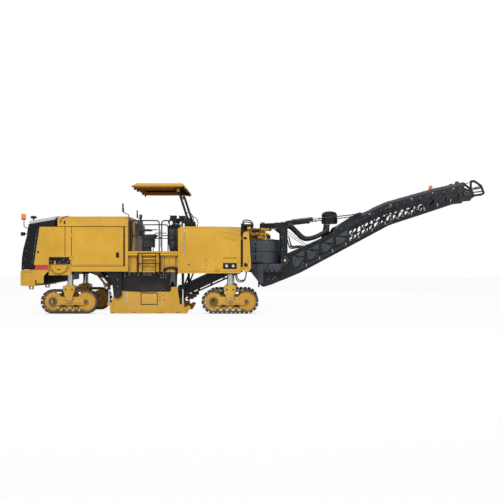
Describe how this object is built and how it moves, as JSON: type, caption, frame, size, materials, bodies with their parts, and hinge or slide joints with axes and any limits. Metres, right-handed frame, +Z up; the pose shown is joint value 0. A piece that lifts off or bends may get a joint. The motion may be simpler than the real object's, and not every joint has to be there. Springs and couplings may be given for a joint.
{
  "type": "cold planer milling machine",
  "caption": "Crawler-mounted road milling machine that cuts asphalt with a toothed drum and loads it by a slewing front conveyor.",
  "frame": {"origin": "centre of the whole machine's footprint on the ground", "axes": "+X towards the loading conveyor's head, +Y to the machine's left, +Z up"},
  "size_m": [14.6, 3, 4.2194],
  "materials": {
    "yellow_paint": "satin yellow paint",
    "black_paint": "satin black paint",
    "engine_grey": "grey paint over casting",
    "red_lens": "red reflector",
    "orange_lens": "orange lens",
    "black_rubber": "smooth black rubber",
    "track_rubber": "dusty steel chain with rubber pads",
    "worn_steel": "worn bare steel",
    "chrome_rod": "hard chrome",
    "grey_sheet": "blue-grey sheet",
    "seat_vinyl": "black vinyl",
    "mirror_shell": "black plastic with glass"
  },
  "bodies": {
    "chassis": {"main_frame": "black_paint", "engine_house": "yellow_paint", "engine_block": "engine_grey", "service_boxes": "yellow_paint", "rear_shroud": "black_paint", "cooling_grille": "black_paint", "rear_bumper": "yellow_paint", "reflectors": "red_lens", "platform": "yellow_paint", "ladders": "yellow_paint", "rear_cabinet": "yellow_paint", "front_body": "yellow_paint", "front_brackets": "yellow_paint", "transfer_skirt": "black_rubber", "lower_conveyor": "black_paint", "lower_belt": "black_rubber", "milling_chamber": "black_paint", "moldboard": "yellow_paint", "plate_barrels": "black_paint", "canopy_feet": "black_paint", "seat": "seat_vinyl", "consoles": "black_paint", "handrails": "black_paint", "mirrors": "mirror_shell", "lamp_stems": "black_paint", "rear_beacon": "orange_lens", "lashing_eyes": "yellow_paint"},
    "leg_rear_right": {"leg_column_rear_right": "chrome_rod"},
    "crawler_rear_right": {"track_frame_rear_right": "yellow_paint", "track_loop_rear_right": "track_rubber"},
    "leg_rear_left": {"leg_column_rear_left": "chrome_rod"},
    "crawler_rear_left": {"track_frame_rear_left": "yellow_paint", "track_loop_rear_left": "track_rubber"},
    "leg_front_right": {"leg_column_front_right": "chrome_rod"},
    "crawler_front_right": {"track_frame_front_right": "yellow_paint", "track_loop_front_right": "track_rubber"},
    "leg_front_left": {"leg_column_front_left": "chrome_rod"},
    "crawler_front_left": {"track_frame_front_left": "yellow_paint", "track_loop_front_left": "track_rubber"},
    "drum": {"cutter_drum": "worn_steel"},
    "plate_right": {"side_plate_right": "yellow_paint", "plate_rods_right": "chrome_rod"},
    "side_door_right": {"door_right": "yellow_paint"},
    "plate_left": {"side_plate_left": "yellow_paint", "plate_rods_left": "chrome_rod"},
    "side_door_left": {"door_left": "yellow_paint"},
    "swing": {"swing_frame": "black_paint", "swing_skirt": "black_rubber", "dust_ducts": "black_rubber"},
    "conveyor": {"boom_frame": "black_paint", "boom_belt": "black_rubber", "boom_cover": "grey_sheet", "head_guard": "black_paint", "dust_blower": "black_paint", "boom_beacon": "orange_lens"},
    "lift_barrel_pair": {"lift_barrels": "black_paint"},
    "lift_rod_pair": {"lift_rods": "chrome_rod"},
    "canopy_frame": {"canopy_posts": "black_paint"},
    "canopy_top": {"canopy_roof": "yellow_paint"},
    "engine_lid": {"hood": "yellow_paint"}
  },
  "joints": [
    {"name": "leg_lift_rear_right", "type": "slide", "parent": "chassis", "child": "leg_rear_right", "axis": [0, 0, 1], "range_m": [-0.32, 0.25]},
    {"name": "steer_rear_right", "type": "hinge", "parent": "leg_rear_right", "child": "crawler_rear_right", "pos_m": [-5.8, -1.05, 0], "axis": [0, 0, 1], "range_deg": [-25, 25]},
    {"name": "leg_lift_rear_left", "type": "slide", "parent": "chassis", "child": "leg_rear_left", "axis": [0, 0, 1], "range_m": [-0.32, 0.25]},
    {"name": "steer_rear_left", "type": "hinge", "parent": "leg_rear_left", "child": "crawler_rear_left", "pos_m": [-5.8, 1.05, 0], "axis": [0, 0, 1], "range_deg": [-25, 25]},
    {"name": "leg_lift_front_right", "type": "slide", "parent": "chassis", "child": "leg_front_right", "axis": [0, 0, 1], "range_m": [-0.32, 0.25]},
    {"name": "steer_front_right", "type": "hinge", "parent": "leg_front_right", "child": "crawler_front_right", "pos_m": [-0.82, -1.05, 0], "axis": [0, 0, 1], "range_deg": [-25, 25]},
    {"name": "leg_lift_front_left", "type": "slide", "parent": "chassis", "child": "leg_front_left", "axis": [0, 0, 1], "range_m": [-0.32, 0.25]},
    {"name": "steer_front_left", "type": "hinge", "parent": "leg_front_left", "child": "crawler_front_left", "pos_m": [-0.82, 1.05, 0], "axis": [0, 0, 1], "range_deg": [-25, 25]},
    {"name": "drum_spin", "type": "hinge", "parent": "chassis", "child": "drum", "pos_m": [-3.5, 0, 0.52], "axis": [0, 1, 0], "continuous": true},
    {"name": "plate_float_right", "type": "slide", "parent": "chassis", "child": "plate_right", "axis": [0, 0, 1], "range_m": [0, 0.4]},
    {"name": "door_swing_right", "type": "hinge", "parent": "chassis", "child": "side_door_right", "pos_m": [-5.713, -1.264, 2], "axis": [0, 0, -1], "range_deg": [0, 95]},
    {"name": "plate_float_left", "type": "slide", "parent": "chassis", "child": "plate_left", "axis": [0, 0, 1], "range_m": [0, 0.4]},
    {"name": "door_swing_left", "type": "hinge", "parent": "chassis", "child": "side_door_left", "pos_m": [-5.713, 1.264, 2], "axis": [0, 0, 1], "range_deg": [0, 95]},
    {"name": "conveyor_slew", "type": "hinge", "parent": "chassis", "child": "swing", "pos_m": [0.22, 0, 2.5], "axis": [0, 0, 1], "range_deg": [-50, 50]},
    {"name": "conveyor_lift", "type": "hinge", "parent": "swing", "child": "conveyor", "pos_m": [0.913, 0, 1.655], "axis": [0, -1, 0], "range_deg": [-12, 10], "deforming": ["dust_ducts"]},
    {"name": "lift_barrel_turn", "type": "hinge", "parent": "swing", "child": "lift_barrel_pair", "pos_m": [0.96, 0, 2.862], "axis": [0, -1, 0], "range_deg": [-14, 12]},
    {"name": "lift_rod_slide", "type": "slide", "parent": "lift_barrel_pair", "child": "lift_rod_pair", "axis": [0.9934, 0, 0.1146], "range_m": [-0.22, 0.26]},
    {"name": "canopy_fold", "type": "hinge", "parent": "chassis", "child": "canopy_frame", "pos_m": [-2.15, 0, 2.95], "axis": [0, -1, 0], "range_deg": [0, 40]},
    {"name": "canopy_level", "type": "hinge", "parent": "canopy_frame", "child": "canopy_top", "pos_m": [-2.44, 0, 3.85], "axis": [0, -1, 0], "range_deg": [-42, 2]},
    {"name": "lid_lift", "type": "hinge", "parent": "chassis", "child": "engine_lid", "pos_m": [-6.164, 0, 3.008], "axis": [0, -1, 0], "range_deg": [0, 40]}
  ],
  "couplings": [
    {"joint": "steer_front_left", "follows": "steer_front_right", "ratio": 1},
    {"joint": "steer_rear_left", "follows": "steer_rear_right", "ratio": 1},
    {"joint": "lift_barrel_turn", "follows": "conveyor_lift", "ratio": 1.08},
    {"joint": "lift_rod_slide", "follows": "conveyor_lift", "m_per_rad": -1.186},
    {"joint": "canopy_level", "follows": "canopy_fold", "ratio": -1}
  ]
}
